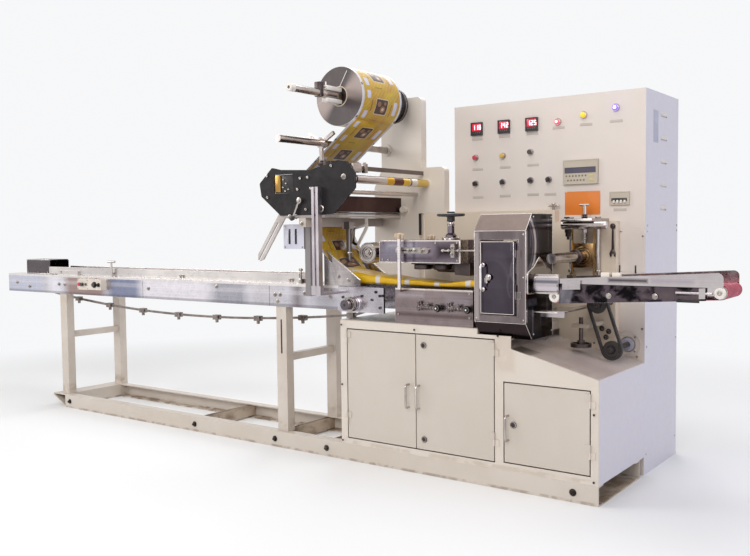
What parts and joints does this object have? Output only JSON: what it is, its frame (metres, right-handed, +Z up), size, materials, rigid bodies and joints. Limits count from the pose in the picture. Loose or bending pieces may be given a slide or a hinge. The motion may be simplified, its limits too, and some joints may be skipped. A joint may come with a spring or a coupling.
{
  "type": "flow wrap machine",
  "caption": "Horizontal flow wrapper with chain infeed, overhead film reel, fin seal unit, jaw cover, belt discharge and control cabinet.",
  "frame": {"origin": "on the floor under the middle of the sealing jaws, on the product line", "axes": "+X along the product's travel towards the discharge, +Y to the back of the machine, +Z up"},
  "size_m": [4.5277, 1.341, 1.8257],
  "materials": {
    "cream_paint": "satin",
    "dark_paint": "satin",
    "brushed_stainless": "satin",
    "galvanised_steel": "satin",
    "chromed_steel": "polished",
    "aluminium": "satin",
    "black_plastic": "matte",
    "black_rubber": "matte",
    "red_belt": "matte",
    "printed_film": "gloss",
    "instrument_black": "matte",
    "lamp_lens": "gloss"
  },
  "bodies": {
    "machine": {"base_rails": "cream_paint", "base_cross_members": "cream_paint", "base_end_nose": "cream_paint", "base_floor_plate": "cream_paint", "cabinet_front": "cream_paint", "cabinet_walls": "cream_paint", "cabinet_deck": "cream_paint", "chute_plate": "cream_paint", "control_cabinet_lower": "cream_paint", "control_cabinet_upper": "cream_paint", "temperature_controllers": "instrument_black", "display_and_breaker": "instrument_black", "indicator_lamps": "lamp_lens", "push_buttons": "black_plastic", "machine_wall": "cream_paint", "unwind_stand": "cream_paint", "film_web": "printed_film", "printer_front_plate": "dark_paint", "printer_rollers": "chromed_steel", "printer_housing": "dark_paint", "printer_support": "cream_paint", "printer_arm": "aluminium", "slotted_post": "aluminium", "infeed_side_plates": "galvanised_steel", "infeed_legs": "cream_paint", "infeed_tail_cover": "galvanised_steel", "guide_rails": "brushed_stainless", "switch_boxes": "cream_paint", "infeed_head_plates": "aluminium", "infeed_chain": "galvanised_steel", "former_plates": "brushed_stainless", "film_tube": "printed_film", "fin_upper_box": "brushed_stainless", "fin_slide_bar": "aluminium", "disc_roller": "chromed_steel", "fin_lower_box": "brushed_stainless", "jaw_cover": "brushed_stainless", "sealing_jaws": "chromed_steel", "side_drive": "chromed_steel", "discharge_frame": "brushed_stainless", "discharge_rollers": "aluminium", "discharge_belt": "red_belt", "drive_chain": "black_rubber", "drive_sprockets": "dark_paint"},
    "left_door_leaf": {"left_door": "cream_paint", "left_door_handle": "chromed_steel"},
    "right_door_leaf": {"right_door": "cream_paint", "right_door_locks": "chromed_steel", "right_door_handle": "chromed_steel"},
    "small_door_leaf": {"small_door": "cream_paint", "small_door_lock": "chromed_steel", "small_door_handle": "chromed_steel"},
    "guard_door_leaf": {"guard_door": "brushed_stainless", "guard_door_handle": "chromed_steel"},
    "reel": {"reel_shaft": "chromed_steel", "film_reel": "printed_film"},
    "spare_reel_shaft": {"spare_shaft": "chromed_steel"},
    "upper_hand_wheel": {"handwheel": "black_plastic"},
    "lower_hand_wheel": {"lower_handwheel": "black_plastic"},
    "print_lever": {"printer_lever": "chromed_steel"}
  },
  "joints": [
    {"name": "left_door_hinge", "type": "hinge", "parent": "machine", "child": "left_door_leaf", "pos_m": [-0.817, -0.135, 0.3], "axis": [0, 0, -1], "range_deg": [0, 100]},
    {"name": "right_door_hinge", "type": "hinge", "parent": "machine", "child": "right_door_leaf", "pos_m": [-0.046, -0.135, 0.3], "axis": [0, 0, 1], "range_deg": [0, 100]},
    {"name": "small_door_hinge", "type": "hinge", "parent": "machine", "child": "small_door_leaf", "pos_m": [0.371, -0.135, 0.28], "axis": [0, 0, 1], "range_deg": [0, 100]},
    {"name": "guard_door_hinge", "type": "hinge", "parent": "machine", "child": "guard_door_leaf", "pos_m": [0.0725, -0.17, 0.88], "axis": [0, 0, 1], "range_deg": [0, 110]},
    {"name": "reel_spin", "type": "hinge", "parent": "machine", "child": "reel", "pos_m": [-0.825, 0, 1.6907], "axis": [0, 1, 0], "continuous": true},
    {"name": "spare_shaft_spin", "type": "hinge", "parent": "machine", "child": "spare_reel_shaft", "pos_m": [-0.915, 0, 1.483], "axis": [0, 1, 0], "continuous": true},
    {"name": "upper_hand_wheel_turn", "type": "hinge", "parent": "machine", "child": "upper_hand_wheel", "pos_m": [-0.292, -0.06, 1.138], "axis": [0, 0, 1], "continuous": true},
    {"name": "lower_hand_wheel_turn", "type": "hinge", "parent": "machine", "child": "lower_hand_wheel", "pos_m": [0.203, 0.18, 0.581], "axis": [0, 0, 1], "continuous": true},
    {"name": "print_lever_turn", "type": "hinge", "parent": "machine", "child": "print_lever", "pos_m": [-0.97, -0.272, 1.218], "axis": [0, 1, 0], "range_deg": [0, 55]}
  ]
}
